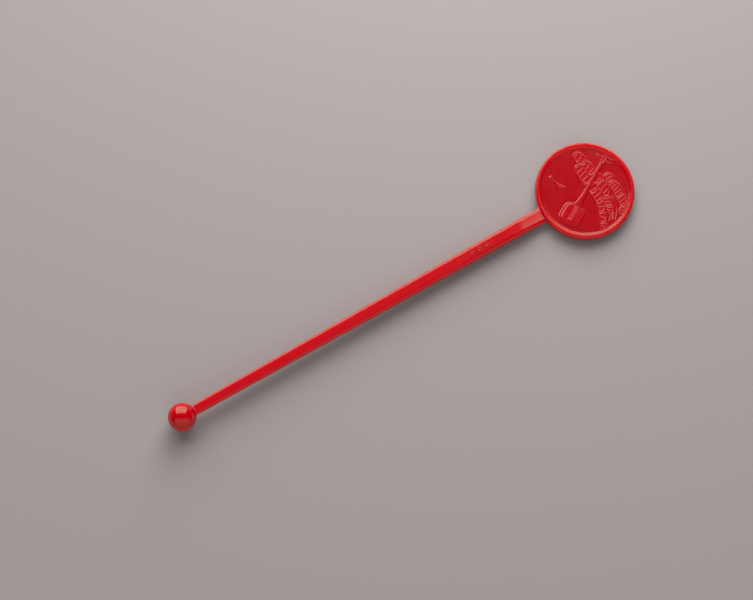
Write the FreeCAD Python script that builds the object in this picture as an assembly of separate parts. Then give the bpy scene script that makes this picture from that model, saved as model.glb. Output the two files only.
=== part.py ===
# Swizzle stick: one rigid injection moulding in glossy red polystyrene.
# A ball for stirring, a straight tapering stem, and a round medallion with a raised rim and relief.
# Row frame: +X along the stem towards the medallion, +Z out of the relief face,
# origin under the middle of the length, at the height of the ball's lowest point.
import FreeCAD, Part
import math
import os
from FreeCAD import Placement, Rotation, Vector

# Driving dimensions, millimetres and degrees
overall_length = 152.4          # 6 inches, ball end to the far edge of the medallion
ball_radius = 4.1
disc_radius = 14.5
disc_thickness = 2.6            # over both rims
rim_rise = 0.42                 # rim land above the field, on each side
rim_outer_round = 0.45
rim_land = 0.55                 # flat land on top of the rim
rim_slope = 0.65                # run of the rim's inner slope

stem_width = (3.1, 4.53)        # at the ball, and where the root begins
stem_thickness = (2.6, 3.1)
stem_flat_share = 0.55          # flat top face over full width
stem_side_share = 0.5           # upright part of each side over thickness
stem_start = 0.7                # the stem starts this many ball radii from the ball's centre
root_length = 8.0               # last stretch, which thins down to the medallion's edge
root_flare_length = 1.1
root_flare_width = 6.2
root_thickness = 1.5
root_overlap = 0.3              # runs on this far before it is cut to the medallion's wall

mark_distance = 98.0            # middle of the raised mark, from the ball's centre
mark_pitch = 2.4
mark_length = 1.7
mark_width = 1.25
mark_rise = 0.15

cloud_rise = 0.18
rib_rise = 0.07
rib_width = 0.2
smallest_rib = 0.004            # cubic millimetres; scraps below this are left out
line_rise = 0.12
line_width = 0.35

lute_turn = 30.4                # neck leans this far to the left of upright
lute_shift = 0.4                # neck line passes this far to the right of the centre
lute_rise = 0.3
body_width = 6.95
body_length = 6.7
body_middle = (-0.28, -8.35)    # across and along the lute, from the neck's line and the medallion's centre
body_squareness = 3.6           # exponent of the superellipse outline
body_steps = 32
# Along the neck, and its full width there
neck_flare = ((-5.2, 2.7), (-4.4, 2.04), (-3.4, 1.52), (-1.2, 1.1), (9.6, 0.92))
head_span = (9.6, 12.5)
head_width = 1.3
peg_rise = 0.24
peg_width = 0.38
peg_reach = 2.5
pegs = ((10.75, 1), (12.0, 1), (11.35, -1))                           # along, side
string_rise = 0.05
string_width = 0.14
string_pitch = 0.4
string_count = 3
string_gap = 0.2                # left free between the strings and the end of the neck
bridge_along = -10.2
bridge_width = 1.3
bridge_length = 0.4
bridge_rise = 0.08

plectrum_place = (-6.1, -6.2)
plectrum_turn = 11.0
plectrum_rise = 0.24
plectrum_length = 5.2
# Half width against distance from the knob's end: knob, waist, and the blade that opens out
plectrum_outline = ((0.0, 0.55), (0.6, 0.55), (1.1, 0.31), (2.7, 0.39), (4.3, 0.77), (5.2, 1.35))

# Each cloud: lobes (middle to the right, middle upwards, half length, half height, turn, lean of its ribs),
# the pitch of its ribs, and its lower edge: height at the middle, slope, bend and where the bend begins
cloud_long = {
    "lobes": ((-8.9, 3.6, 2.3, 1.5, 10, 14), (-5.5, 4.0, 2.5, 1.75, 8, 14), (-2.0, 4.5, 2.3, 1.6, 4, 14),
              (1.9, 4.8, 2.9, 1.75, 0, 14)),
    "pitch": 1.45, "edge": (3.5, 0.14, 0.0, 0.0)}
cloud_low = {
    "lobes": ((-4.4, 1.9, 3.3, 1.5, 2, 14), (-0.2, 1.9, 2.3, 1.75, 0, 14), (3.2, 1.9, 2.4, 1.85, 0, 8),
              (6.2, 1.0, 2.4, 1.75, -25, -12), (9.1, -0.2, 2.3, 1.7, -28, -20),
              (11.9, -1.2, 2.2, 1.4, -30, -34)),
    "pitch": 1.35, "edge": (0.85, 0.08, -0.58, 5.2)}
cloud_top = {
    "lobes": ((0.3, 8.1, 1.6, 1.2, 5, 0), (4.2, 8.0, 2.8, 1.6, 0, 14), (8.0, 7.9, 2.0, 1.5, -12, 20),
              (10.8, 6.6, 1.9, 1.2, -45, 30)),
    "pitch": 0.98, "edge": (7.0, 0.0, -0.9, 9.2)}
cloud_small = {
    "lobes": ((6.3, 3.9, 1.8, 1.25, -16, -10), (8.7, 3.0, 2.0, 1.35, -24, -20)),
    "pitch": 1.0, "edge": (2.35, 0.0, 0.0, 0.0)}
edge_softness = 2.0             # length over which a lower edge bends
edge_steps = 12
wind_centre = (2.5, -6.0)
wind_lines = ((13.15, 40, 100), (12.35, 38, 80), (11.55, 36, 62))     # radius, from, to

# Worked out from the driving dimensions
mid_z = ball_radius
ball_x = ball_radius - overall_length / 2
disc_x = overall_length / 2 - disc_radius
half_disc = disc_thickness / 2
field_half = half_disc - rim_rise
field_radius = disc_radius - rim_outer_round - rim_land - rim_slope
field_z = mid_z + field_half
wall_x = disc_x - disc_radius
root_x = wall_x - root_length


def stem_section(x, width, thickness):
    """Closed eight-sided section across the stem: flat faces, chamfers and upright sides."""
    flat = width * stem_flat_share / 2
    side = thickness * stem_side_share / 2
    half_w, half_t = width / 2, thickness / 2
    quarter = [(flat, half_t), (half_w, side), (half_w, -side), (flat, -half_t)]
    ring = quarter + [(-y, z) for y, z in reversed(quarter)]
    points = [Vector(x, y, mid_z + z) for y, z in ring]
    return Part.makePolygon(points + points[:1])


def ball_solid():
    return Part.makeSphere(ball_radius, Vector(ball_x, 0, mid_z))


def disc_cylinder(radius):
    """Upright cylinder on the medallion's axis, taller than anything on it."""
    return Part.makeCylinder(radius, 4 * ball_radius, Vector(disc_x, 0, -ball_radius))


def stem_solid():
    """Straight taper whose end is hollowed to the ball."""
    start = stem_section(ball_x + stem_start * ball_radius, stem_width[0], stem_thickness[0])
    end = stem_section(root_x, stem_width[1], stem_thickness[1])
    return Part.makeLoft([start, end], True, True).cut(ball_solid())


def root_solid():
    """Last stretch: it thins towards the medallion, then flares and ends on its round wall."""
    thinning = (stem_thickness[1] - root_thickness) * root_flare_length / root_length
    sections = [
        stem_section(root_x, stem_width[1], stem_thickness[1]),
        stem_section(wall_x - root_flare_length, stem_width[1], root_thickness + thinning),
        stem_section(wall_x + root_overlap, root_flare_width, root_thickness),
    ]
    return Part.makeLoft(sections, True, True).cut(disc_cylinder(disc_radius))


def mark_solids(stem):
    """Row of three raised lozenges on the stem's top face, in place of any lettering."""
    solids = []
    top = mid_z + stem_thickness[1] / 2 + mark_rise
    for step in (-1, 0, 1):
        x = ball_x + mark_distance + step * mark_pitch
        ends = [(x - mark_length / 2, 0), (x, -mark_width / 2), (x + mark_length / 2, 0),
                (x, mark_width / 2)]
        points = [Vector(px, py, mid_z) for px, py in ends]
        face = Part.Face(Part.makePolygon(points + points[:1]))
        solids.append(face.extrude(Vector(0, 0, top - mid_z)).cut(stem))
    return Part.makeCompound(solids)


def rim_solid():
    """Ring turned about the medallion's axis, alike on both faces."""
    r, t = disc_radius, half_disc
    bow = rim_outer_round * (1 - math.sqrt(0.5))
    land_out, land_in = r - rim_outer_round, r - rim_outer_round - rim_land

    def at(radius, height):
        return Vector(disc_x + radius, 0, mid_z + height)

    edges = []
    for side in (1, -1):
        edges.append(Part.Arc(at(r, side * (t - rim_outer_round)), at(r - bow, side * (t - bow)),
                              at(land_out, side * t)).toShape())
        edges.append(Part.makeLine(at(land_out, side * t), at(land_in, side * t)))
        edges.append(Part.makeLine(at(land_in, side * t), at(field_radius, side * field_half)))
    edges.append(Part.makeLine(at(r, t - rim_outer_round), at(r, rim_outer_round - t)))
    edges.append(Part.makeLine(at(field_radius, field_half), at(field_radius, -field_half)))
    profile = Part.Face(Part.Wire(Part.__sortEdges__(edges)))
    return profile.revolve(Vector(disc_x, 0, 0), Vector(0, 0, 1), 360)


def web_solid():
    """Plate inside the rim that carries the relief."""
    return Part.makeCylinder(field_radius, 2 * field_half, Vector(disc_x, 0, mid_z - field_half))


# Relief shapes are drawn flat, with x to the right and y away from the stem, then laid on the field.
def on_field(shape, turn=0.0, shift=(0.0, 0.0)):
    """Turn and shift a flat-drawn solid about the medallion's centre, then lay it on the field."""
    local = Placement(Vector(shift[0], shift[1], 0), Rotation(Vector(0, 0, 1), turn))
    laid = Placement(Vector(disc_x, 0, field_z), Rotation(Vector(0, 0, 1), -90))
    shape.Placement = laid.multiply(local)
    return shape


def slab(points, low, high):
    """Upright prism over a polygon."""
    corners = [Vector(x, y, low) for x, y in points]
    return Part.Face(Part.makePolygon(corners + corners[:1])).extrude(Vector(0, 0, high - low))


def bar(x0, x1, y0, y1, low, high):
    return slab([(x0, y0), (x1, y0), (x1, y1), (x0, y1)], low, high)


def lobe(values, low, high, shrink=0.0):
    """Upright elliptical pad; shrink takes the same amount off both half axes."""
    x, y, half_length, half_height, turn = values[:5]
    outline = Part.Ellipse(Vector(0, 0, 0), half_length - shrink, half_height - shrink).toShape()
    pad = Part.Face(Part.Wire([outline])).extrude(Vector(0, 0, high - low))
    pad.Placement = Placement(Vector(x, y, low), Rotation(Vector(0, 0, 1), turn))
    return pad


def below_edge(cloud, low, high, lift=0.0):
    """Everything under a cloud's lower edge: a straight slope that bends softly past one point."""
    middle, slope, bend, start = cloud["edge"]
    reach = disc_radius
    edge = []
    for step in range(edge_steps + 1):
        x = reach * (2 * step / edge_steps - 1)
        past = x - start
        edge.append((x, middle + slope * x + bend * (past + math.hypot(past, edge_softness)) / 2 + lift))
    return slab(edge + [(reach, -reach), (-reach, -reach)], low, high)


def cloud_pad(cloud, low=0.0, high=cloud_rise):
    """Overlapping lobes joined to one pad, scalloped above and cut off at its lower edge."""
    pads = [lobe(values, low, high) for values in cloud["lobes"]]
    return on_field(pads[0].fuse(pads[1:]).cut(below_edge(cloud, low, high)))


def cloud_ribs(cloud):
    """Slanted ribs across each lobe, standing on its pad."""
    ribs = []
    top = cloud_rise + rib_rise
    margin = rib_width
    for index, values in enumerate(cloud["lobes"]):
        x, y, half_length, half_height, turn, slant = values
        inside = lobe(values, cloud_rise, top, margin)
        trims = [lobe(other, cloud_rise, top) for other in cloud["lobes"][:index]]
        trims.append(below_edge(cloud, cloud_rise, top, margin))
        count = int((half_length - 2 * margin) / cloud["pitch"])
        lean = math.tan(math.radians(slant)) * half_height
        half = rib_width / 2
        for step in range(-count, count + 1):
            middle, reach = step * cloud["pitch"], half_height
            rib = slab([(middle - half - lean, reach), (middle - half + lean, -reach),
                        (middle + half + lean, -reach), (middle + half - lean, reach)], cloud_rise, top)
            rib.Placement = Placement(Vector(x, y, 0), Rotation(Vector(0, 0, 1), turn))
            ribs += rib.common(inside).cut(trims).Solids
    return [on_field(rib) for rib in ribs if rib.Volume > smallest_rib]


def wind_solids():
    """Sweeping raised lines below the top cloud: strips of rings about one centre."""
    centre = Vector(wind_centre[0], wind_centre[1], 0)
    up = Vector(0, 0, 1)
    strips = []
    for radius, start, end in wind_lines:
        outer = Part.makeCylinder(radius + line_width / 2, line_rise, Vector(), up, end - start)
        inner = Part.makeCylinder(radius - line_width / 2, line_rise, Vector(), up, end - start)
        strip = outer.cut(inner)
        strip.Placement = Placement(centre, Rotation(up, start))
        strips.append(strip)
    return on_field(Part.makeCompound(strips))


def on_lute(shape):
    """Lay a solid drawn along the lute, with y up the neck, on the field."""
    turn = math.radians(lute_turn)
    shift = (lute_shift * math.cos(turn), lute_shift * math.sin(turn))
    return on_field(shape, lute_turn, shift)


def body_solid():
    """Rounded-square sounding body: a superellipse outline."""
    points = []
    power = 2 / body_squareness
    for step in range(body_steps):
        angle = 2 * math.pi * step / body_steps
        cos, sin = math.cos(angle), math.sin(angle)
        across = math.copysign(abs(cos) ** power, cos) * body_width / 2
        along = math.copysign(abs(sin) ** power, sin) * body_length / 2
        points.append(Vector(body_middle[0] + across, body_middle[1] + along, 0))
    outline = Part.BSplineCurve()
    outline.interpolate(points, PeriodicFlag=True)
    face = Part.Face(Part.Wire([outline.toShape()]))
    return on_lute(face.extrude(Vector(0, 0, lute_rise)))


def neck_solid():
    """Straight neck that flares into the body."""
    right = [(width / 2, along) for along, width in neck_flare]
    left = [(-x, y) for x, y in reversed(right)]
    return on_lute(slab(right + left, 0, lute_rise))


def head_solid():
    """Pegbox with a rounded end."""
    half = head_width / 2
    start, end = head_span
    box = bar(-half, half, start, end - half, 0, lute_rise)
    cap = Part.makeCylinder(half, lute_rise, Vector(0, end - half, 0))
    return on_lute(box.fuse(cap).removeSplitter())


def peg_solids():
    """Tuning pegs, square to the pegbox."""
    half = head_width / 2
    bars = []
    for along, side in pegs:
        near, far = sorted((side * half, side * peg_reach))
        bars.append(bar(near, far, along - peg_width / 2, along + peg_width / 2, 0, peg_rise))
    return on_lute(Part.makeCompound(bars))


def bridge_solid():
    half = bridge_width / 2
    return on_lute(bar(-half, half, bridge_along, bridge_along + bridge_length, lute_rise,
                       lute_rise + bridge_rise))


def string_solids():
    """Strings from the bridge to the end of the neck."""
    strings = []
    start = bridge_along + bridge_length
    for index in range(string_count):
        middle = (index - (string_count - 1) / 2) * string_pitch
        strings.append(bar(middle - string_width / 2, middle + string_width / 2, start,
                           neck_flare[0][0] - string_gap, lute_rise, lute_rise + string_rise))
    return on_lute(Part.makeCompound(strings))


def plectrum_solid():
    """Fan-shaped plectrum: knob, waist and blade."""
    upper = [(along - plectrum_length / 2, half_width) for along, half_width in plectrum_outline]
    lower = [(x, -y) for x, y in reversed(upper)]
    return on_field(slab(upper + lower, 0, plectrum_rise), plectrum_turn, plectrum_place)


def build():
    """All nodes by name. Each is trimmed to its neighbours, so that solids meet face to face."""
    stem, web = stem_solid(), web_solid()
    inside_rim = disc_cylinder(field_radius)
    body, head = body_solid(), head_solid()
    neck = neck_solid().cut([body, head])
    low = cloud_pad(cloud_low).common(inside_rim).cut(neck)
    long = cloud_pad(cloud_long).cut([neck, cloud_pad(cloud_low)])
    top = cloud_pad(cloud_top).common(inside_rim)
    small = cloud_pad(cloud_small).cut(low)
    wind = wind_solids().common(inside_rim).cut([low, long, top, small])
    # Ribs are trimmed by the neck and by the cloud in front, taken up to the height of the ribs
    rib_top = cloud_rise + rib_rise
    low_raised = cloud_pad(cloud_low, 0.0, rib_top)
    ribs = []
    for cloud, trims in ((cloud_low, [neck]), (cloud_long, [neck, low_raised]), (cloud_top, []),
                         (cloud_small, [low_raised])):
        for rib in cloud_ribs(cloud):
            rib = rib.common(inside_rim)
            rib = rib.cut(trims) if trims else rib
            ribs += [piece for piece in rib.Solids if piece.Volume > smallest_rib]
    return {
        "ball_tip": ball_solid(),
        "stem": stem,
        "stem_root": root_solid(),
        "stem_mark": mark_solids(stem),
        "disc_web": web,
        "disc_rim": rim_solid(),
        "lute_body": body,
        "lute_neck": neck,
        "lute_head": head,
        "lute_pegs": peg_solids(),
        "lute_bridge": bridge_solid(),
        "lute_strings": string_solids(),
        "plectrum": plectrum_solid(),
        "cloud_low": low,
        "cloud_long": long,
        "cloud_top": top,
        "cloud_small": small,
        "cloud_ribs": Part.makeCompound(ribs),
        "wind_lines": wind,
    }


def main():
    os.makedirs("parts", exist_ok=True)
    for name, shape in build().items():
        shape.exportStep(os.path.join("parts", name + ".step"))
        box = shape.BoundBox
        print(name, len(shape.Solids), "valid" if shape.isValid() else "INVALID",
              round(shape.Volume, 3), "z %.2f to %.2f" % (box.ZMin, box.ZMax))


main()
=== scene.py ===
# Swizzle stick: one glossy red polystyrene moulding with a ball, a tapering stem and a relief medallion.
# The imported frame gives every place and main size; this script makes the moulded surfaces and their finish.
import math
import bpy
import numpy as np
from mathutils import Matrix, Vector


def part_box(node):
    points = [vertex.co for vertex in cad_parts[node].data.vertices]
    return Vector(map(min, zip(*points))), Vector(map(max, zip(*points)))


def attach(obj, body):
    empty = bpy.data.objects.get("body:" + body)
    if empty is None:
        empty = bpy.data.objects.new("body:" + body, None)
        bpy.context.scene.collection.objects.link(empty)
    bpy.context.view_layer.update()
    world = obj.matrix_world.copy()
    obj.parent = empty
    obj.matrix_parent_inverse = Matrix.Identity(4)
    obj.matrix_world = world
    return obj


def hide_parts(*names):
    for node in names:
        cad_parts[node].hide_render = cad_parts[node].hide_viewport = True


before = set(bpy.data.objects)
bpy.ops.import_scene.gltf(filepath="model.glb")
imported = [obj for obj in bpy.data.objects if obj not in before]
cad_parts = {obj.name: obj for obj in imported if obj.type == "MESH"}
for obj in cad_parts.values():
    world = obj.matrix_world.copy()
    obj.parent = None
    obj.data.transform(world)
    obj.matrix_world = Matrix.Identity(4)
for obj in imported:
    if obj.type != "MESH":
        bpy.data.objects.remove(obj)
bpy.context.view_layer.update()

print("stage: frame loaded")


def mmBox(node):
    # Lowest and highest corner of a CAD node, in millimetres
    low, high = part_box(node)
    return np.array(low) * 1000, np.array(high) * 1000


ballLow, ballHigh = mmBox("ball_tip")
rimLow, rimHigh = mmBox("disc_rim")
webLow, webHigh = mmBox("disc_web")
ballRadius = (ballHigh[1] - ballLow[1]) / 2
ballX = (ballLow[0] + ballHigh[0]) / 2
midZ = (ballLow[2] + ballHigh[2]) / 2
discX = (rimLow[0] + rimHigh[0]) / 2
discRadius = (rimHigh[0] - rimLow[0]) / 2
halfDisc = (rimHigh[2] - rimLow[2]) / 2
fieldRadius = (webHigh[0] - webLow[0]) / 2
halfField = (webHigh[2] - webLow[2]) / 2
wallX = discX - discRadius
rootX = mmBox("stem_root")[0][0]


# Meshes from whole arrays
def makePiece(name, points, faces, replaced, material):
    # points: (n, 3) in millimetres. faces: a list of (m, k) index arrays, k corners a face
    mesh = bpy.data.meshes.new(name)
    mesh.vertices.add(len(points))
    mesh.vertices.foreach_set("co", (points * 0.001).astype(np.float32).ravel())
    corners = np.concatenate([block.ravel() for block in faces]).astype(np.int32)
    sizes = np.concatenate([np.full(len(block), block.shape[1]) for block in faces])
    mesh.loops.add(len(corners))
    mesh.loops.foreach_set("vertex_index", corners)
    mesh.polygons.add(len(sizes))
    mesh.polygons.foreach_set("loop_start", np.concatenate([[0], np.cumsum(sizes)[:-1]]).astype(np.int32))
    mesh.update(calc_edges=True)
    mesh.validate()
    mesh.shade_smooth()
    mesh.materials.append(material)
    piece = bpy.data.objects.new(name, mesh)
    bpy.context.scene.collection.objects.link(piece)
    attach(piece, "root")
    if replaced:
        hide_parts(*replaced)
    print("stage:", name, "has", len(points), "points")


def gridFaces(rows, columns, closeRows=False, closeColumns=False):
    # Quads over a grid of points numbered row by row; a closed direction joins its last line to its first
    row = np.arange(rows if closeRows else rows - 1)
    column = np.arange(columns if closeColumns else columns - 1)
    row, column = (part.ravel() for part in np.meshgrid(row, column, indexing="ij"))
    nextRow, nextColumn = (row + 1) % rows, (column + 1) % columns
    return np.stack([row * columns + column, row * columns + nextColumn,
                     nextRow * columns + nextColumn, nextRow * columns + column], axis=1)


def fanFaces(ring, pole, flip):
    # Triangles from a closed ring of point numbers to one pole
    fan = np.stack([ring, np.roll(ring, -1), np.full(len(ring), pole)], axis=1)
    return fan[:, ::-1] if flip else fan


def tubeFaces(rows, columns, flip=False):
    # A closed tube of rings with a pole beyond each end; the poles are the last two points
    count = rows * columns
    first = np.arange(columns)
    last = first + count - columns
    side = gridFaces(rows, columns, closeColumns=True)
    side = side[:, ::-1] if flip else side
    return [side, fanFaces(first, count, not flip), fanFaces(last, count + 1, flip)]


def smoothStep(values):
    # 0 below 0, 1 above 1, and 3v^2 - 2v^3 between
    clipped = np.clip(values, 0, 1)
    return clipped * clipped * (3 - 2 * clipped)


def ridge(distance, middle, half):
    # Rounded ridge: a Gaussian across the line
    return np.exp(-((distance - middle) / half) ** 2)


def edge(distance, soft):
    # Wall of a raised shape: 1 inside, falling to 0 over the soft width about the outline, mostly straight
    ramp = np.clip(0.5 - distance / soft, 0, 1)
    return (ramp + smoothStep(ramp)) / 2


# Materials
def hexColour(text):
    # sRGB hex to linear
    values = [int(text[i:i + 2], 16) / 255 for i in (1, 3, 5)]
    return [v / 12.92 if v <= 0.04045 else ((v + 0.055) / 1.055) ** 2.4 for v in values] + [1.0]


def addNode(tree, kind, settings=None, inputs=None):
    # A node with its settings; an input given a socket is linked, any other is set
    node = tree.nodes.new(kind)
    for key, value in (settings or {}).items():
        setattr(node, key, value)
    for key, value in (inputs or {}).items():
        if isinstance(value, bpy.types.NodeSocket):
            tree.links.new(value, node.inputs[key])
        else:
            node.inputs[key].default_value = value
    return node


polystyrene = {
    "red": ("#C1001A", "#B80017"),        # masterbatch red, and a little more pigment along the flow
    "shadedThinRed": ("#A20014", "#9A0012"),    # painted shade: the red made darker over the thin plate, for the light it loses to the shadow below it
    "reliefRed": ("#AD0017", "#A50014"),  # between the two, so it carries part of the thin plate's painted shade
    "scatter": (1.0, 0.04, 0.04),         # how far each colour travels under the skin
    "scatterReach": 6.0,                  # mm
    "skinTint": "#FFFFDD",                # the gloss takes a little of the warm pigment with it
    "ior": 1.59,
    "wearSize": 6.0,                      # mm, patches of handling
    "wear": (0.42, 0.68),                 # noise between which the gloss goes from polished to worn
}


def mouldedRed(name, colours, glow, flowPitch, flowHeight, gloss, grainPitch, grainHeight, flow=(1, 1, 1)):
    # Injection-moulded polystyrene: pigmented red that lets light through its edges, under a glossy skin.
    # Slow flow marks and a fine grain keep the reflections from looking drawn with a ruler. The real grain
    # is too fine to show, so it is drawn coarser.
    material = bpy.data.materials.new(name)
    material.use_nodes = True
    tree = material.node_tree
    tree.nodes.clear()
    place = addNode(tree, "ShaderNodeTexCoord").outputs["Object"]
    stretched = addNode(tree, "ShaderNodeMapping", inputs={"Vector": place, "Scale": flow}).outputs["Vector"]
    flowMarks = addNode(tree, "ShaderNodeTexNoise", inputs={
        "Vector": stretched, "Scale": 1000 / flowPitch, "Detail": 3.0, "Roughness": 0.55}).outputs["Fac"]
    wear = addNode(tree, "ShaderNodeTexNoise", inputs={
        "Vector": place, "Scale": 1000 / polystyrene["wearSize"],
        "Detail": 5.0, "Roughness": 0.6}).outputs["Fac"]
    grain = addNode(tree, "ShaderNodeTexNoise", inputs={
        "Vector": place, "Scale": 1000 / grainPitch, "Detail": 2.0, "Roughness": 0.6}).outputs["Fac"]
    colour = addNode(tree, "ShaderNodeMix", {"data_type": "RGBA"}, {
        0: flowMarks, 6: hexColour(colours[0]), 7: hexColour(colours[1])}).outputs[2]
    polished, worn = polystyrene["wear"]
    roughness = addNode(tree, "ShaderNodeMapRange", {"clamp": True}, {
        "Value": wear, "From Min": polished, "From Max": worn,
        "To Min": gloss[0], "To Max": gloss[1]}).outputs["Result"]
    flowBump = addNode(tree, "ShaderNodeBump", inputs={
        "Height": flowMarks, "Strength": 1.0, "Distance": flowHeight * 0.001}).outputs["Normal"]
    bump = addNode(tree, "ShaderNodeBump", inputs={
        "Height": grain, "Strength": 1.0, "Distance": grainHeight * 0.001,
        "Normal": flowBump}).outputs["Normal"]
    shader = addNode(tree, "ShaderNodeBsdfPrincipled", inputs={
        "Base Color": colour, "Roughness": roughness, "Normal": bump, "IOR": polystyrene["ior"],
        "Specular Tint": hexColour(polystyrene["skinTint"]),
        "Subsurface Weight": glow, "Subsurface Radius": polystyrene["scatter"],
        "Subsurface Scale": polystyrene["scatterReach"] * 0.001})
    addNode(tree, "ShaderNodeOutputMaterial", inputs={"Surface": shader.outputs["BSDF"]})
    return material


# gloss is the roughness where polished and where worn, pitches and heights are in mm, and flow says how fast
# the flow marks change along each axis
solid, shadedThin, raised = polystyrene["red"], polystyrene["shadedThinRed"], polystyrene["reliefRed"]
# Polished along its length, which draws reflections out into long soft streaks
stemRed = mouldedRed("moulded_polystyrene_drawn_polish", solid, glow=0.8, flowPitch=0.9, flowHeight=0.005,
                     gloss=(0.15, 0.2), grainPitch=0.25, grainHeight=0.0004, flow=(0.04, 1, 1))
# Polished to a mirror, for sharp and complete reflections
ballRed = mouldedRed("moulded_polystyrene_mirror_polish", solid, glow=0.8, flowPitch=2.5, flowHeight=0.002,
                     gloss=(0.03, 0.07), grainPitch=0.3, grainHeight=0.0003)
# Turned and then polished, for highlights with soft ends round the ring
rimRed = mouldedRed("moulded_polystyrene_turned_polish", solid, glow=0.8, flowPitch=1.6, flowHeight=0.002,
                    gloss=(0.13, 0.18), grainPitch=0.22, grainHeight=0.0003)
# Satin, in the darker red with painted shade for the light the thin plate loses to the shadow below; the
# picture stands out against it
shadedFieldRed = mouldedRed("moulded_polystyrene_satin_painted_shade", shadedThin, glow=0.0, flowPitch=1.2, flowHeight=0.003,
                      gloss=(0.09, 0.14), grainPitch=0.16, grainHeight=0.001)
# Engraved in the mould and left a little dull, so that every edge catches a soft light. Its red lies between
# the other two, so it is partly painted shade
reliefRed = mouldedRed("moulded_polystyrene_engraved", raised, glow=0.0, flowPitch=0.8, flowHeight=0.003,
                       gloss=(0.11, 0.16), grainPitch=0.16, grainHeight=0.0008)
print("stage: materials made")


# Ball
ballLook = {
    "rows": 96,
    "columns": 160,
    "crowding": 0.45,            # how strongly the columns gather at the parting plane
    "ripple": 0.004,             # slow unevenness, mm
    "flash": (0.035, 0.015),     # half width and height of the parting line
}


def makeBall():
    # Sphere turned about the stem's axis: radius R plus a slow ripple and a thin ridge at the parting plane.
    # The columns crowd towards that plane: angle = t - crowding sin 2t
    look = ballLook
    polar = np.linspace(0, math.pi, look["rows"] + 2)[1:-1]
    around = np.linspace(0, 2 * math.pi, look["columns"], endpoint=False)
    around = around - look["crowding"] * np.sin(2 * around)
    polar, around = np.meshgrid(polar, around, indexing="ij")
    flashHalf, flashHeight = look["flash"]
    radius = ballRadius - flashHeight
    radius = radius - look["ripple"] * (1 + np.sin(3 * polar + 1) * np.cos(2 * around)) / 2
    radius = radius + flashHeight * ridge(ballRadius * np.sin(polar) * np.sin(around), 0, flashHalf)
    points = np.stack([ballX - radius * np.cos(polar), radius * np.sin(polar) * np.cos(around),
                       midZ + radius * np.sin(polar) * np.sin(around)], axis=-1).reshape(-1, 3)
    poles = np.array([[ballX - ballRadius, 0, midZ], [ballX + ballRadius, 0, midZ]])
    makePiece("ballTip", np.vstack([points, poles]), tubeFaces(look["rows"], look["columns"]),
              ["ball_tip"], ballRed)


makeBall()


# Stem
stemLook = {
    "width": (3.1, 4.53),       # at the ball and at the root, mm
    "thickness": (2.6, 3.1),
    "startShare": 0.7,          # the taper starts this many ball radii from the ball's centre
    "flatShare": 0.54,          # flat top over full width
    "shoulderShare": 0.36,      # shoulder over half thickness
    "rootShoulder": (0.35, 0.6),    # share added at the medallion, and the flare that brings it all
    "shoulderPower": 1.75,      # exponent of the superelliptical shoulder
    "draft": 5.0,               # degrees, on the sides
    "endThickness": 1.5,        # where the root meets the medallion
    "rootEase": 0.22,           # share of the root over which it bends into its slope
    "ballFillet": 0.7,
    "wallFillet": 1.15,
    "wallReach": 0.93,          # share of the wall's fillet that is made before the rim hides it
    "sink": (0.008, 0.016),     # hollow of the flat faces, along the stem and in the root
    "sinkRun": 1.2,             # over which the one passes into the other
    "wave": 0.012,              # slow waviness of the tool
    "waveTurns": (0.55, 1.27),  # of its two sines, radians per mm
    "flash": (0.03, 0.02),      # half width and height of the parting line
    "nick": (107.8, -0.15),     # from the ball's centre, and from the flat's edge on the -Y side
    "nickSize": (0.35, 0.3, 0.1),   # half length, half width, depth
    "hidden": (2.9, 0.03, 0.75),    # start from the ball's centre, gap under its skin, run into the rim
    "sectionPoints": (9, 18),   # on half the flat and on the shoulder
    "sidePlaces": (0.75, 0.5, 0.25, 0.12),      # points on the side, as shares of its height
    "stations": (60, 0.5, 110),     # count at the ball, step in mm along the stem, count in the root
    "ballStretch": (1.2, 1.5),      # past the ball's radius: end of the first stations, start of the next
}


def stemProfile(x):
    # Half width and half thickness at x: linear tapers plus two slow sines, then a bend and a straight slope
    # to the medallion's edge
    look = stemLook
    startX = ballX + look["startShare"] * ballRadius
    share = (x - startX) / (rootX - startX)
    halfWidth = (look["width"][0] + (look["width"][1] - look["width"][0]) * share) / 2
    halfThick = (look["thickness"][0] + (look["thickness"][1] - look["thickness"][0]) * share) / 2
    down = np.clip((x - rootX) / (wallX - rootX), 0, 1.2)
    bend = look["rootEase"]
    ease = np.where(down < bend, down * down / (2 * bend), down - bend / 2) / (1 - bend / 2)
    halfThick = halfThick - (halfThick - look["endThickness"] / 2) * ease
    slowTurn, fastTurn = look["waveTurns"]
    wave = look["wave"] * (np.sin(x * slowTurn + 0.4) + 0.6 * np.sin(x * fastTurn + 2.0)) / 2
    return halfWidth + wave, halfThick + wave * 0.6


def upright(values):
    # A row of values stood up as a column, so that it spreads over the other direction
    return values[:, None]


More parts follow.
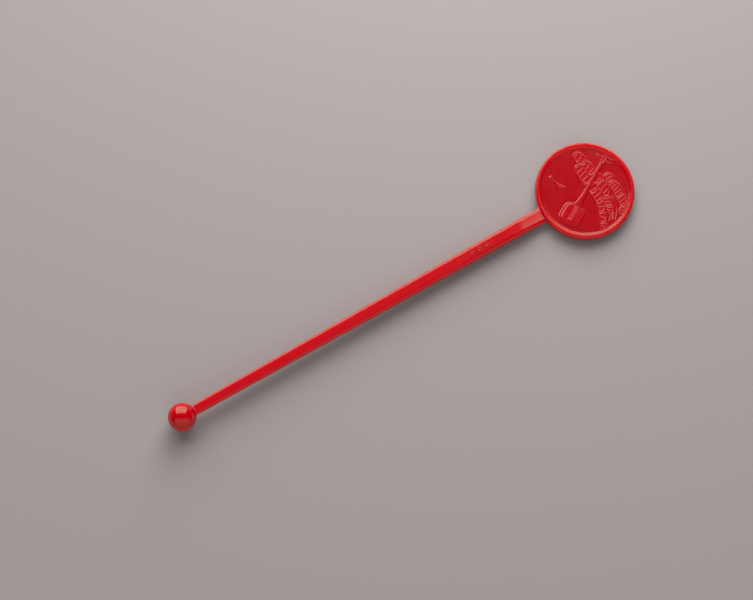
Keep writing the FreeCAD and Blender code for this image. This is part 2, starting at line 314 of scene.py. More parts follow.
def stemQuarter(x):
    # One quarter of the section, from the middle of the top to the parting line: a hollowed flat with
    # z = t - sink (1 - s^2), a superelliptical shoulder, and a straight drafted side that ends in the flash
    look = stemLook
    halfWidth, halfThick = stemProfile(x)
    flat = halfWidth * look["flatShare"]
    reach = discRadius + look["wallFillet"]
    filletX = discX - math.sqrt(reach ** 2 - (look["width"][1] / 2 + look["wallFillet"]) ** 2)
    into = np.clip(x - filletX, 0, look["wallFillet"] * look["wallReach"])
    flare = look["wallFillet"] - np.sqrt(look["wallFillet"] ** 2 - into ** 2)
    halfWidth = halfWidth + flare
    draft = math.tan(math.radians(look["draft"]))
    rootShare, rootFlare = look["rootShoulder"]
    shoulder = halfThick * (look["shoulderShare"] + rootShare * smoothStep(flare / rootFlare))
    side = halfThick - shoulder
    across = halfWidth - flat - side * draft
    stemSink, rootSink = look["sink"]
    sink = stemSink + (rootSink - stemSink) * smoothStep((x - rootX) / look["sinkRun"])
    flatPoints, shoulderPoints = look["sectionPoints"]
    s = np.linspace(0, 1, flatPoints)
    psi = np.linspace(0, math.pi / 2, shoulderPoints)[1:]
    power = 2 / look["shoulderPower"]
    low = np.array(look["sidePlaces"])
    flashHalf, flashHeight = look["flash"]
    y = np.concatenate([upright(flat) * s, upright(flat) + upright(across) * np.sin(psi) ** power,
                        upright(halfWidth) - upright(side) * draft * low,
                        upright(halfWidth), upright(halfWidth + flashHeight)], axis=1)
    z = np.concatenate([upright(halfThick) - upright(sink) * (1 - s ** 2),
                        upright(side) + upright(shoulder) * np.abs(np.cos(psi)) ** power, upright(side) * low,
                        np.full((len(x), 1), flashHalf), np.zeros((len(x), 1))], axis=1)
    return y, z, flat


def makeStem():
    # The quarter mirrored four ways into a section, carried along x
    look = stemLook
    start, gap, runOn = look["hidden"]
    ballCount, step, rootCount = look["stations"]
    ballEnd, stemStart = look["ballStretch"]
    x = np.concatenate([ballX + np.linspace(start, ballRadius + ballEnd, ballCount),
                        np.arange(ballX + ballRadius + stemStart, rootX - 0.2, step),
                        np.linspace(rootX, wallX + runOn, rootCount)])
    quarterY, quarterZ, flat = stemQuarter(x)
    y = np.concatenate([quarterY[:, :-1], quarterY[:, :0:-1], -quarterY[:, :-1], -quarterY[:, :0:-1]], axis=1)
    z = np.concatenate([quarterZ[:, :-1], -quarterZ[:, :0:-1], -quarterZ[:, :-1], quarterZ[:, :0:-1]], axis=1)
    # Fillet onto the ball: the section grows away from its own radius on an arc that touches the ball
    own = np.hypot(y, z)
    fillet = look["ballFillet"]
    centre = np.sqrt((ballRadius + fillet) ** 2 - (own + fillet) ** 2)
    touch = centre * ballRadius / (ballRadius + fillet)
    fromBall = upright(x - ballX)
    arc = fillet - np.sqrt(np.clip(fillet ** 2 - (centre - fromBall) ** 2, 0, None))
    inside = np.sqrt(np.clip(ballRadius ** 2 - fromBall ** 2, 0, None)) - own - gap
    grow = np.where(fromBall > centre, 0, np.where(fromBall > touch, arc, inside))
    y, z = y * (1 + grow / own), z * (1 + grow / own)
    # A small nick in the upper shoulder on that side
    nickX, nickY = look["nick"]
    halfLength, halfAcross, depth = look["nickSize"]
    dent = depth * ridge(fromBall, nickX, halfLength) * ridge(y + upright(flat), nickY, halfAcross)
    z = np.where(z > 0, z - dent, z)
    points = np.stack([np.broadcast_to(upright(x), y.shape), y, z + midZ], axis=-1).reshape(-1, 3)
    ends = np.array([[x[0], 0, midZ], [x[-1], 0, midZ]])
    makePiece("stemBlade", np.vstack([points, ends]), tubeFaces(*y.shape, flip=True),
              ["stem", "stem_root"], stemRed)


makeStem()


# Mark on the stem
markLook = {
    "count": 3,
    "length": 1.7,
    "rise": 0.13,
    "outerWall": (-0.05, 0.16),     # where the wall starts, inward from the outline, and its run
    "innerWall": (0.2, 0.14),
    "hollow": 0.75,         # share of the rise that the middle loses
    "roundness": 1.15,      # exponent of the lozenge: 1 has straight sides
    "sunk": 0.01,
    "depth": 0.3,           # of the hidden underside
    "rings": (1.08, 0.05, 14),      # shares of the outline, first and last, and how many
    "columns": 48,
}


def makeMark():
    # Raised outlines of lozenges, |x/a|^p + |y/b|^p = 1: the height steps up at the outer wall, and down at
    # the inner one
    low, high = mmBox("stem_mark")
    look = markLook
    length, width, power = look["length"], high[1] - low[1], look["roundness"]
    firstShare, lastShare, rings = look["rings"]
    around = np.linspace(0, 2 * math.pi, look["columns"], endpoint=False)
    ring = np.linspace(firstShare, lastShare, rings)
    lozenge = 1 / (np.abs(np.cos(around)) ** power + np.abs(np.sin(around)) ** power) ** (1 / power)
    inward = (1 - ring) * width / 2 * length / math.hypot(length, width)
    (outerStart, outerRun), (innerStart, innerRun) = look["outerWall"], look["innerWall"]
    height = look["rise"] * smoothStep((inward - outerStart) / outerRun)
    height = height * (1 - look["hollow"] * smoothStep((inward - innerStart) / innerRun))
    points, faces = [], []
    columns = np.arange(look["columns"])
    count = rings * look["columns"]
    for number, middle in enumerate(np.linspace(low[0] + length / 2, high[0] - length / 2, look["count"])):
        x = middle + upright(ring) * lozenge * np.cos(around) * length / 2
        y = upright(ring) * lozenge * np.sin(around) * width / 2
        base = midZ + stemProfile(x)[1] - stemLook["sink"][0] - look["sunk"]
        top = np.stack([x, y, base + upright(height)], axis=-1).reshape(-1, 3)
        under = top[:look["columns"]] - np.array([0, 0, look["depth"]])
        poles = np.array([[middle, 0, top[-1, 2]], [middle, 0, under[0, 2]]])
        nextColumns = np.roll(columns, -1)
        skirt = np.stack([count + columns, count + nextColumns, nextColumns, columns], axis=1)
        blocks = [gridFaces(rings, look["columns"], closeColumns=True), skirt,
                  fanFaces(columns + count - look["columns"], count + look["columns"], False),
                  fanFaces(columns + count, count + look["columns"] + 1, True)]
        start = number * (count + look["columns"] + 2)
        faces += [block + start for block in blocks]
        points += [top, under, poles]
    makePiece("stemLozenges", np.vstack(points), faces, ["stem_mark"], reliefRed)


makeMark()


# Medallion
rimLook = {
    "columns": 288,
    "crest": (13.38, 13.96),    # radii of the narrow flat top
    "shoulder": 0.46,           # drop of the outer round, mm
    "slopeRounding": 0.12,      # share of the inner slope that rounds over into the crest
    "foot": 12.66,              # radius where the inner slope runs out on the field
    "footSink": 0.006,
    "flash": (0.04, 0.02),      # half width and height of the parting line
    "wallStart": 0.3,           # from the parting plane to where the plain wall begins
    "wave": 0.001,              # slow unevenness, as a share of the height
    "hidden": 0.3,              # depth of the inner wall that stands inside the web
    "profilePoints": (22, 26),  # on the shoulder and on the inner slope
}


def rimHalfProfile():
    # Radius and height from the parting plane, outside first: parting line, wall, elliptical shoulder, flat
    # crest, and an inner slope that rounds over and then flattens as 1 - u, like a cove
    look = rimLook
    flashHalf, flashHeight = look["flash"]
    wallRadius = discRadius - flashHeight
    wall = np.array([[discRadius, 0.0], [wallRadius, flashHalf], [wallRadius, look["wallStart"]]])
    inner, outer = look["crest"]
    shoulderPoints, slopePoints = look["profilePoints"]
    psi = np.linspace(0, math.pi / 2, shoulderPoints)
    corner = np.stack([outer + (wallRadius - outer) * np.cos(psi),
                       halfDisc - look["shoulder"] * (1 - np.sin(psi))], axis=1)
    u = np.linspace(0, 1, slopePoints)
    rounding = look["slopeRounding"]
    steepness = smoothStep(u / rounding) * (1 - u) + 0.01     # the slope never lies quite level
    fall = np.cumsum(steepness) / np.sum(steepness)
    foot = halfField - look["footSink"]
    slope = np.stack([inner + (look["foot"] - inner) * u,
                      halfDisc + (foot - halfDisc) * fall], axis=1)
    return np.vstack([wall, corner, slope])


def makeRim():
    # Closed profile turned about the medallion's axis; the hidden inner wall stands inside the web
    half = np.vstack([rimHalfProfile(), [[rimLook["foot"], halfField - rimLook["hidden"]]]])
    profile = np.vstack([half, half[:0:-1] * np.array([1, -1])])
    around = np.linspace(0, 2 * math.pi, rimLook["columns"], endpoint=False)
    wave = 1 - rimLook["wave"] * (1 + np.sin(3 * around + 1))
    radius, height = upright(profile[:, 0]), upright(profile[:, 1])
    points = np.stack([discX + radius * np.cos(around), radius * np.sin(around),
                       midZ + height * wave], axis=-1)
    faces = [gridFaces(len(profile), rimLook["columns"], closeRows=True, closeColumns=True)]
    makePiece("discRim", points.reshape(-1, 3), faces, ["disc_rim"], rimRed)


makeRim()


webLook = {
    "columns": 192,
    "rings": 60,
    "innerRing": 0.02,  # share of the radius, round the pole
    "sink": 0.02,       # hollow of both faces
    "tuck": 0.4,        # runs on this far under the rim's slope
}


def makeWeb():
    # Two round fields back to back, joined at their edge: height = h - sink (1 - r^2) (1 - r), where r is the
    # radius over the full radius
    look = webLook
    ring = np.linspace(look["innerRing"], 1, look["rings"])
    around = np.linspace(0, 2 * math.pi, look["columns"], endpoint=False)
    drop = look["sink"] * (1 - ring ** 2) * (1 - ring)
    radius = np.concatenate([ring, ring[::-1]]) * (rimLook["foot"] + look["tuck"])
    height = np.concatenate([drop - halfField, (halfField - drop)[::-1]])
    points = np.stack([discX + upright(radius) * np.cos(around), upright(radius) * np.sin(around),
                       midZ + upright(height) + 0 * around], axis=-1).reshape(-1, 3)
    poleHeight = halfField - look["sink"]
    poles = np.array([[discX, 0, midZ - poleHeight], [discX, 0, midZ + poleHeight]])
    # The field takes the thin plate's red with painted shade
    makePiece("discField", np.vstack([points, poles]), tubeFaces(2 * look["rings"], look["columns"]),
              ["disc_web"], shadedFieldRed)


makeWeb()


ejectorLook = {
    "radius": 1.25,
    "rise": 0.05,
    "profile": ((1.0, 0.55), (0.985, 0.9), (0.95, 1.0), (0.6, 0.94), (0.2, 0.92)),  # shares: radius, rise
    "hidden": 0.17,         # depth of the base under the back
    "places": ((0.0, 0.0), (-8.2, 0.0), (4.1, 7.1), (4.1, -7.1)),     # mm from the medallion's centre
    "columns": 64,
}


def makeEjectorMarks():
    # Witness discs of the ejector pins on the back: a low round pad with a softly rounded edge
    look = ejectorLook
    around = np.linspace(0, 2 * math.pi, look["columns"], endpoint=False)
    share, rise = np.array(look["profile"]).T
    share = np.concatenate([share[:1], share])
    rise = np.concatenate([[-look["hidden"]], rise * look["rise"]])
    back = midZ - halfField + webLook["sink"]
    points, faces = [], []
    for number, (x, y) in enumerate(look["places"]):
        radius = upright(share * look["radius"])
        ring = np.stack([discX + x + radius * np.cos(around), y + radius * np.sin(around),
                         back - upright(rise) + 0 * around], axis=-1).reshape(-1, 3)
        poles = np.array([[discX + x, y, ring[0, 2]], [discX + x, y, ring[-1, 2]]])
        start = number * (len(share) * look["columns"] + 2)
        faces += [block + start for block in tubeFaces(len(share), look["columns"], flip=True)]
        points += [ring, poles]
    # In the thin plate's red with painted shade
    makePiece("ejectorMarks", np.vstack(points), faces, [], shadedFieldRed)


makeEjectorMarks()


# Relief, drawn flat: right and up as seen with the stem downwards, from the medallion's centre
reliefLook = {
    "cell": 0.042,              # mm
    "least": 0.003,             # cells lower than this are left out
    "sunk": 0.012,              # so that the thin edges end under the field
    "baseDepth": 0.2,           # of the flat underside
    "rimFade": (-0.05, 0.5),    # where the relief starts to fade, from the field's edge, and over what run
}


def reliefPiece(name, heights, box, turn, replaced):
    # Height field on a grid of square cells, kept only where it stands above the field, over a flat base.
    # heights(right, up) gives millimetres above the field; box is (left, right, bottom, top) before the turn.
    look = reliefLook
    cell = look["cell"]
    gridA, gridL = np.meshgrid(np.arange(box[0], box[1] + cell, cell), np.arange(box[2], box[3] + cell, cell),
                               indexing="ij")
    cos, sin = math.cos(math.radians(turn)), math.sin(math.radians(turn))
    right, up = gridA * cos - gridL * sin, gridA * sin + gridL * cos
    height = heights(right, up)
    corners = np.stack([height[:-1, :-1], height[1:, :-1], height[1:, 1:], height[:-1, 1:]])
    keep = corners.max(axis=0) > look["least"]
    # Cells that touch only at a corner are joined, so that the walls close
    keep[1:, :-1] |= keep[:-1, :-1] & keep[1:, 1:] & ~keep[:-1, 1:]
    keep[:-1, :-1] |= keep[1:, :-1] & keep[:-1, 1:] & ~keep[1:, 1:]
    rows, columns = height.shape
    number = np.arange(rows * columns).reshape(rows, columns)
    top = np.stack([number[:-1, :-1][keep], number[1:, :-1][keep], number[1:, 1:][keep],
                    number[:-1, 1:][keep]], axis=1)
    blocks = [top, top[:, ::-1] + rows * columns]
    # A wall wherever the neighbouring cell is left out
    padded = np.pad(keep, 1)
    for stepR, stepC, first, second in ((-1, 0, 0, 3), (1, 0, 2, 1), (0, -1, 1, 0), (0, 1, 3, 2)):
        beside = padded[1 + stepR:padded.shape[0] - 1 + stepR, 1 + stepC:padded.shape[1] - 1 + stepC]
        cells = (keep & ~beside)[keep]
        a, b = top[cells, first], top[cells, second]
        blocks.append(np.stack([a, b, b + rows * columns, a + rows * columns], axis=1))
    used, order = np.unique(np.concatenate([block.ravel() for block in blocks]), return_inverse=True)
    x, y = discX + up, -right
    field = midZ + halfField
    upper = np.stack([x, y, field + height - look["sunk"]], axis=-1)
    under = np.stack([x, y, np.full_like(x, field - look["baseDepth"])], axis=-1)
    points = np.concatenate([upper.reshape(-1, 3), under.reshape(-1, 3)])
    split = np.cumsum([block.size for block in blocks])[:-1]
    faces = [part.reshape(-1, 4) for part in np.split(order.ravel(), split)]
    makePiece(name, points[used], faces, replaced, reliefRed)


def discLimit(right, up):
    # 1 on the field, fading to 0 under the rim's slope
    start, run = reliefLook["rimFade"]
    return 1 - smoothStep((np.hypot(right, up) - fieldRadius - start) / run)


cloudLook = {
    "crest": 0.2,           # height of the outline, mm
    "crestInset": 0.12,     # its crest stands this far inside
    "crestHalf": 0.12,
    "foot": 0.22,           # run of the soft foot outside
    "floor": 0.1,           # height of the hollow inside
    "rib": 0.055,
    "ribHalf": 0.09,
    "ribBend": 0.05,
    "ribFade": (0.1, 0.2),  # the ribs end this far inside the outline, over this run
    "overlap": 0.08,        # run over which a lobe hides the one behind
    "cover": 0.2,           # and a cloud the piece behind
    "edgeSoftness": 2.0,    # length over which a lower edge bends
}
clouds = {
    # Lobes: middle to the right, middle upwards, half length, half height, turn, lean of the ribs in degrees.
    # Edge below: height at the middle, slope, bend and where the bend begins. Box: left, right, bottom, top
    "long": {
        "lobes": ((-8.9, 3.7, 2.3, 1.5, 10, 14), (-5.4, 4.2, 2.5, 1.7, 8, 14),
                  (-2.0, 4.7, 2.3, 1.6, 4, 14), (1.9, 4.9, 2.8, 1.7, 0, 14)),
        "pitch": 1.45,
        "edge": (3.5, 0.14, 0.0, 0.0),
        "behind": ["low"],
        "box": (-12.0, 5.6, 1.4, 7.6),
    },
    "low": {
        "lobes": ((-4.4, 1.9, 3.3, 1.5, 2, 14), (-0.2, 1.9, 2.3, 1.75, 0, 14), (3.2, 1.9, 2.4, 1.85, 0, 8),
                  (6.2, 1.0, 2.4, 1.75, -25, -12), (9.1, -0.2, 2.3, 1.7, -28, -20),
                  (11.9, -1.2, 2.2, 1.4, -30, -34)),
        "pitch": 1.35,
        "edge": (0.85, 0.08, -0.58, 5.2),
        "behind": [],
        "box": (-8.6, 13.3, -5.2, 4.6),
    },
    "top": {
        "lobes": ((0.3, 8.1, 1.6, 1.2, 5, 0), (4.2, 8.0, 2.8, 1.6, 0, 14), (8.0, 7.9, 2.0, 1.5, -12, 20),
                  (10.8, 6.6, 1.9, 1.2, -45, 30)),
        "pitch": 0.98,
        "edge": (7.0, 0.0, -0.9, 9.2),
        "behind": [],
        "box": (-2.2, 12.8, 3.0, 10.4),
    },
    "small": {
        "lobes": ((6.3, 3.9, 1.8, 1.25, -16, -10), (8.7, 3.0, 2.0, 1.35, -24, -20)),
        "pitch": 1.0,
        "edge": (2.35, 0.0, 0.0, 0.0),
        "behind": ["low"],
        "box": (3.6, 11.6, 1.4, 6.2),
    },
}


def lobeDistance(right, up, lobe, lowerEdge):
    # Distance to an ellipse's outline, minus inside: k (k - 1) over the length of (u/a^2, v/b^2), where k is 1
    # on the outline, cut off at the cloud's lower edge. Then the place across the ribs, and across the lobe
    middleR, middleU, halfLength, halfHeight, turn, lean = lobe
    cos, sin = math.cos(math.radians(turn)), math.sin(math.radians(turn))
    u = (right - middleR) * cos + (up - middleU) * sin
    v = -(right - middleR) * sin + (up - middleU) * cos
    k = np.hypot(u / halfLength, v / halfHeight)
    slope = np.hypot(u / halfLength ** 2, v / halfHeight ** 2)
    middle, rise, bend, start = lowerEdge
    past = right - start
    softness = cloudLook["edgeSoftness"]
    level = middle + rise * right + bend * (past + np.hypot(past, softness)) / 2
    tangent = rise + bend * (1 + past / np.hypot(past, softness)) / 2
    below = (level - up) / np.hypot(1, tangent)
    return np.maximum(k * (k - 1) / np.maximum(slope, 1e-6), below), u + v * math.tan(math.radians(lean)), v


def cloudHeight(right, up, cloud):
    # Lobes laid over each other from right to left: hollow floor, ribs, a rounded outline and a soft foot
    look = cloudLook
    crestAt = -look["crestInset"]
    ribInset, ribRun = look["ribFade"]
    height = np.zeros_like(right)
    for lobe in cloud["lobes"][::-1]:
        distance, along, v = lobeDistance(right, up, lobe, cloud["edge"])
        phase = (along + look["ribBend"] * v * v) / cloud["pitch"]
        rib = look["rib"] * ridge((phase - np.round(phase)) * cloud["pitch"], 0, look["ribHalf"])
        body = look["floor"] + rib * smoothStep((-distance - ribInset) / ribRun)
        body = body + (look["crest"] - look["floor"]) * ridge(distance, crestAt, look["crestHalf"])
        foot = look["crest"] * ridge(np.maximum(distance, crestAt), crestAt, look["foot"])
        inside = smoothStep(0.5 - (distance - crestAt) / look["overlap"])
        height = np.where(distance > crestAt, np.maximum(height, foot), height * (1 - inside) + body * inside)
    return height


def coveredBy(right, up, names):
    # 1 inside any lobe of the named clouds
    cover = np.zeros_like(right)
    for name in names:
        for lobe in clouds[name]["lobes"]:
            distance = lobeDistance(right, up, lobe, clouds[name]["edge"])[0]
            cover = np.maximum(cover, smoothStep(0.5 - distance / cloudLook["cover"]))
    return cover


def makeCloud(piece, name, replaced):
    # The cloud's height, times 0 where a cloud in front or the rim covers it and 1 elsewhere
    cloud = clouds[name]

    def heights(right, up):
        height = cloudHeight(right, up, cloud)
        return height * (1 - coveredBy(right, up, cloud["behind"])) * discLimit(right, up)

    reliefPiece(piece, heights, cloud["box"], 0, replaced)


makeCloud("cloudLongRelief", "long", ["cloud_long"])
makeCloud("cloudLowRelief", "low", ["cloud_low", "cloud_ribs"])
makeCloud("cloudTopRelief", "top", ["cloud_top"])
makeCloud("cloudSmallRelief", "small", ["cloud_small"])


windLook = {
    "centre": (2.5, -6.0),
    "lines": ((13.15, 40, 100), (12.35, 38, 80), (11.55, 36, 62)),     # radius, from, to in degrees
    "fade": (6, 10),        # degrees, at the start and at the end
    "rise": 0.11,
    "half": 0.2,
    "box": (-0.8, 13.2, 0.5, 8.0),
}


def windHeight(right, up):
    # Rings about one centre, fading out at both ends
    look = windLook
    centreR, centreU = look["centre"]
    fadeIn, fadeOut = look["fade"]
    radius = np.hypot(right - centreR, up - centreU)
    angle = np.degrees(np.arctan2(up - centreU, right - centreR))
    height = np.zeros_like(right)
    for lineRadius, start, end in look["lines"]:
        fade = smoothStep((angle - start) / fadeIn) * smoothStep((end - angle) / fadeOut)
        height = np.maximum(height, look["rise"] * ridge(radius, lineRadius, look["half"]) * fade)
    return height * (1 - coveredBy(right, up, list(clouds))) * discLimit(right, up)


reliefPiece("windLines", windHeight, windLook["box"], 0, ["wind_lines"])


lute = {
    "turn": 30.4,                           # neck leans this far to the left
    "shift": 0.4,                           # and passes this far to the right of the centre
    "body": (-0.28, -8.35, 6.95, 6.7),      # middle across and along, width and length
    "skin": (0.13, -8.35, 5.45, 5.9),       # flat face, nearer to the right side
    "squareness": 3.6,                      # exponent of the superellipse outlines
    "bodyRise": 0.27,
    "bodySteps": (0.3, 0.42, 0.48),         # run of each step of the wall, rise of the outer and inner one
    "neckRise": 0.27,
    "neck": ((-5.2, -4.4, -3.4, -1.2, 9.6), (1.35, 1.02, 0.76, 0.55, 0.46)),    # along, half width
    "neckRunsOn": (0.1, 0.2),               # under the body and under the head
    "head": (9.6, 12.5, 0.66),              # from, to, half width
    "headHollow": 0.14,
    "hollowInset": (0.42, 0.5, 0.55),       # from the head's sides, start and end
    "pegs": ((10.9, 1), (12.1, 1), (11.4, -1)),     # along, side
    "pegHalf": 0.2,
    "pegRise": 0.2,
    "pegReach": (0.1, 2.6),                 # overlap with the head, end from the neck's middle
    "bridge": (-10.2, -9.85, 0.65, 0.06),   # from, to, half width, rise
    "strings": (0.4, 0.12, 0.03),           # pitch, half width, rise
    "stringEnd": 0.1,                       # run of the sloping walls, from here down
    "fineWall": 0.2,
    "headWall": 0.3,
    "neckWall": 0.36,
}


def squircleDistance(across, along, shape):
    # Nearly the distance to |x/a|^p + |y/b|^p = 1, minus inside
    middleA, middleL, width, length = shape
    p = lute["squareness"]
    acrossPart = np.abs((across - middleA) / (width / 2)) ** p
    alongPart = np.abs((along - middleL) / (length / 2)) ** p
    k = (acrossPart + alongPart) ** (1 / p)
    return (k - 1) * min(width, length) / 2


def barDistance(across, along, halfWidth, start, end):
    # Distance to a straight bar with square ends, minus inside
    return np.maximum(np.abs(across) - halfWidth, np.maximum(start - along, along - end))


def bodyHeight(across, along):
    # From the outer outline to the flat face the wall rises in two soft steps with a gentle slope between. On
    # the face are the strings, as narrow ridges, and the bridge
    outer = squircleDistance(across, along, lute["body"])
    skin = squircleDistance(across, along, lute["skin"])
    share = np.clip(-outer / (np.maximum(-outer, 0) + np.maximum(skin, 0) + 1e-6), 0, 1)
    run, outerRise, innerRise = lute["bodySteps"]
    height = outerRise * smoothStep(share / run) + innerRise * smoothStep((share - 1 + run) / run)
    height = lute["bodyRise"] * (height + (1 - outerRise - innerRise) * share)
    pitch, stringHalf, stringRise = lute["strings"]
    fromString = across - np.clip(np.round(across / pitch), -1, 1) * pitch
    start, end, bridgeHalf, bridgeRise = lute["bridge"]
    stringBar = barDistance(across, along, 2 * pitch, start, lute["neck"][0][0])
    bridgeBar = barDistance(across, along, bridgeHalf, start, end)
    height = height + stringRise * ridge(fromString, 0, stringHalf) * edge(stringBar, lute["stringEnd"])
    return height + bridgeRise * edge(bridgeBar, lute["fineWall"])


def neckHeight(across, along):
    # Straight bar that flares into the body, with sloping walls
    places, halves = lute["neck"]
    under, over = lute["neckRunsOn"]
    half = np.interp(along, places, halves)
    bar = barDistance(across, along, half, places[0] - under, lute["head"][0] + over)
    return lute["neckRise"] * edge(bar, lute["neckWall"])


def headHeight(across, along):
    # Pegbox: a bar hollowed by a smaller bar
    start, end, half = lute["head"]
    sideInset, startInset, endInset = lute["hollowInset"]
    inner = barDistance(across, along, half - sideInset, start + startInset, end - endInset)
    hollow = lute["headHollow"] * edge(inner, lute["fineWall"])
    return (lute["neckRise"] - hollow) * edge(barDistance(across, along, half, start, end), lute["headWall"])


def pegsHeight(across, along):
    # Short bars that stick out of the head's sides
    height = np.zeros_like(across)
    overlap, reach = lute["pegReach"]
    for place, side in lute["pegs"]:
        peg = barDistance(along - place, across * side, lute["pegHalf"], lute["head"][2] - overlap, reach)
        height = np.maximum(height, lute["pegRise"] * edge(peg, lute["headWall"]))
    return height


def makeLutePiece(name, shape, box, replaced):
    # shape(across, along) gives the height, which is turned and shifted to the lute's place and cut off under
    # the rim; box is (least across, most across, least along, most along)
    def heights(right, up):
        cos, sin = math.cos(math.radians(lute["turn"])), math.sin(math.radians(lute["turn"]))
        height = shape(right * cos + up * sin - lute["shift"], -right * sin + up * cos)
        return height * discLimit(right, up)

    shift = lute["shift"]
    reliefPiece(name, heights, (box[0] + shift, box[1] + shift, box[2], box[3]), lute["turn"], replaced)


makeLutePiece("luteBody", bodyHeight, (-4.4, 3.6, -12.4, -4.4), ["lute_body", "lute_bridge", "lute_strings"])
makeLutePiece("luteNeck", neckHeight, (-1.6, 1.6, -5.6, 10.1), ["lute_neck"])
makeLutePiece("luteHead", headHeight, (-1.1, 1.1, 9.2, 12.9), ["lute_head"])
makeLutePiece("lutePegs", pegsHeight, (-3.0, 3.0, 10.2, 12.8), ["lute_pegs"])


plectrum = {
    "place": (-6.1, -6.2),
    "turn": 11.0,
    "rise": 0.22,
    "half": 2.6,            # half length
    "waist": 0.28,          # half widths
    "blade": 1.3,
    "opening": (0.6, 1.8),  # the blade opens from this far before the middle, with this power of the length
    "knob": (0.26, 0.35, 0.45),     # more half width, place from the end, half length
    "wall": 0.36,           # run of the sloping wall
    "box": (-9.3, -2.9, -8.4, -3.6),
}


def plectrumHeight(right, up):
    # Half width along the plectrum: a knob, a waist, and a blade that opens as a power of the length
    look = plectrum
    cos, sin = math.cos(math.radians(look["turn"])), math.sin(math.radians(look["turn"]))
    u = (right - look["place"][0]) * cos + (up - look["place"][1]) * sin
    v = -(right - look["place"][0]) * sin + (up - look["place"][1]) * cos
    before, power = look["opening"]
    opening = np.clip((u + before) / (look["half"] + before), 0, 1) ** power
    width = look["waist"] + (look["blade"] - look["waist"]) * opening
    knobWidth, knobPlace, knobHalf = look["knob"]
    width = width + knobWidth * ridge(u, knobPlace - look["half"], knobHalf)
    return look["rise"] * edge(np.maximum(np.abs(v) - width, np.abs(u) - look["half"]), look["wall"])


reliefPiece("plectrumRelief", plectrumHeight, plectrum["box"], 0, ["plectrum"])
print("stage: pieces made")


# Floor, lights and camera. The stick lies on its ball and on the medallion's far edge, so the floor leans
# from the row frame's XY plane.
room = {
    "yaw": 30.09,           # stem's angle on the floor, from the camera's right
    "tilt": 12.8,           # camera from straight above
    "distance": 600.0,      # mm
    "lens": 99.8,
    "sensor": 36.0,
    "aim": (-2.8, 0.74),    # mm right and up in the view, from the middle between ball and medallion
    "floor": "#989494",
    "floorSize": 2500.0,
    "edgeRound": 0.5,       # of the medallion's edge, where it touches the floor
    "surroundings": 0.03,   # light from all round
    "lampColour": "#FFFAF8",
    "shoulder": ((0.25, 0.25), (0.45, 0.45), (0.65, 0.61), (1.0, 0.72)),     # film curve: light in, light out
}
edgeX, edgeZ = discX + discRadius - room["edgeRound"], midZ - halfDisc + room["edgeRound"]
span = math.hypot(edgeX - ballX, edgeZ - midZ)
lean = math.atan2(edgeZ - midZ, edgeX - ballX) + math.asin((ballRadius - room["edgeRound"]) / span)
alongFloor = Vector((math.cos(lean), 0, math.sin(lean)))
floorUp = Vector((-math.sin(lean), 0, math.cos(lean)))
touchPoint = Vector((ballX, 0, midZ)) - floorUp * ballRadius
yaw, tilt = math.radians(room["yaw"]), math.radians(room["tilt"])
viewRight = alongFloor * math.cos(yaw) - Vector((0, 1, 0)) * math.sin(yaw)
viewForward = alongFloor * math.sin(yaw) + Vector((0, 1, 0)) * math.cos(yaw)
viewBack = floorUp * math.cos(tilt) - viewForward * math.sin(tilt)
viewUp = viewBack.cross(viewRight)
middle = Vector(((ballX + discX) / 2, 0, midZ))


def placed(axes, origin):
    # Object matrix from three unit axes and an origin in millimetres
    matrix = Matrix.Identity(4)
    for column, axis in enumerate(axes):
        for row in range(3):
            matrix[row][column] = axis[row]
    matrix.translation = origin * 0.001
    return matrix


def addCamera():
    data = bpy.data.cameras.new("viewCamera")
    data.lens = room["lens"]
    data.sensor_width = room["sensor"]
    data.clip_start, data.clip_end = 0.01, 20
    camera = bpy.data.objects.new("viewCamera", data)
    bpy.context.scene.collection.objects.link(camera)
    aim = middle + viewRight * room["aim"][0] + viewUp * room["aim"][1]
    camera.matrix_world = placed((viewRight, viewUp, viewBack), aim + viewBack * room["distance"])
    bpy.context.scene.camera = camera


def addFloor():
    size = room["floorSize"]
    corners = [touchPoint + alongFloor * (a * size) + Vector((0, 1, 0)) * (b * size)
               for a, b in ((-1, -1), (1, -1), (1, 1), (-1, 1))]
    mesh = bpy.data.meshes.new("paleFloor")
    mesh.from_pydata([corner * 0.001 for corner in corners], [], [(0, 1, 2, 3)])
    # Uncoated paper, which spreads light evenly and reflects nothing
    material = bpy.data.materials.new("matt_paper")
    material.use_nodes = True
    tree = material.node_tree
    tree.nodes.clear()
    shader = addNode(tree, "ShaderNodeBsdfPrincipled", inputs={
        "Base Color": hexColour(room["floor"]), "Roughness": 0.85, "Specular IOR Level": 0.3})
    addNode(tree, "ShaderNodeOutputMaterial", inputs={"Surface": shader.outputs["BSDF"]})
    mesh.materials.append(material)
    floor = bpy.data.objects.new("paleFloor", mesh)
    bpy.context.scene.collection.objects.link(floor)


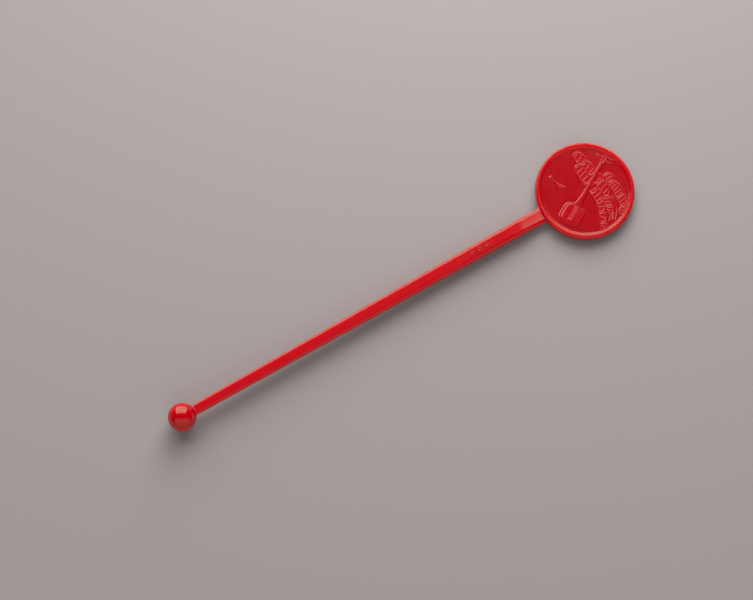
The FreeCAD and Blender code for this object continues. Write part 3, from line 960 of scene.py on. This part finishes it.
def addPanel(name, near, far, side, halfSide, distance, radiance, reflected=True):
    # Area light facing the stick. near, far: its edges in degrees from straight up, towards the top of the
    # view if above 0. side, halfSide: where it stands to the right, and half its spread, in degrees
    angle, half = math.radians((near + far) / 2), math.radians(abs(far - near) / 2)
    outward = floorUp * math.cos(angle) + viewForward * math.sin(angle)
    outward = (outward + viewRight * math.tan(math.radians(side))).normalized()
    data = bpy.data.lights.new(name, "AREA")
    data.shape = "RECTANGLE"
    data.size = 2 * distance * math.tan(math.radians(halfSide)) * 0.001
    data.size_y = 2 * distance * math.tan(half) * 0.001
    data.energy = radiance * math.pi * data.size * data.size_y
    data.color = hexColour(room["lampColour"])[:3]
    lamp = bpy.data.objects.new(name, data)
    lamp.visible_glossy = reflected
    bpy.context.scene.collection.objects.link(lamp)
    sideways = (viewRight - outward * viewRight.dot(outward)).normalized()
    lamp.matrix_world = placed((sideways, outward.cross(sideways), outward), middle + outward * distance)


addCamera()
addFloor()
addPanel("softboxFar", near=25, far=86, side=-5, halfSide=38, distance=1500, radiance=3.0)
addPanel("softboxEdge", near=21, far=25, side=-5, halfSide=38, distance=1500, radiance=1.2)
addPanel("softboxSkirt", near=7, far=21, side=-5, halfSide=38, distance=1500, radiance=0.065)
addPanel("cardNear", near=-23, far=-88, side=4, halfSide=56, distance=1000, radiance=0.5)
addPanel("fillFar", near=44, far=80, side=6, halfSide=20, distance=320, radiance=5.6, reflected=False)
addPanel("fillNear", near=-35, far=-85, side=0, halfSide=45, distance=900, radiance=0.55, reflected=False)
world = bpy.data.worlds.new("studio")
bpy.context.scene.world = world
world.use_nodes = True
background = world.node_tree.nodes["Background"]
background.inputs["Color"].default_value = hexColour(room["lampColour"])
background.inputs["Strength"].default_value = room["surroundings"]
view = bpy.context.scene.view_settings
view.view_transform = "Standard"
view.use_curve_mapping = True
shoulder = view.curve_mapping.curves[3]
shoulder.points[0].location = (0.0, 0.0)
shoulder.points[1].location = room["shoulder"][-1]
for point in room["shoulder"][:-1]:
    shoulder.points.new(*point)
view.curve_mapping.update()
print("stage: room made")
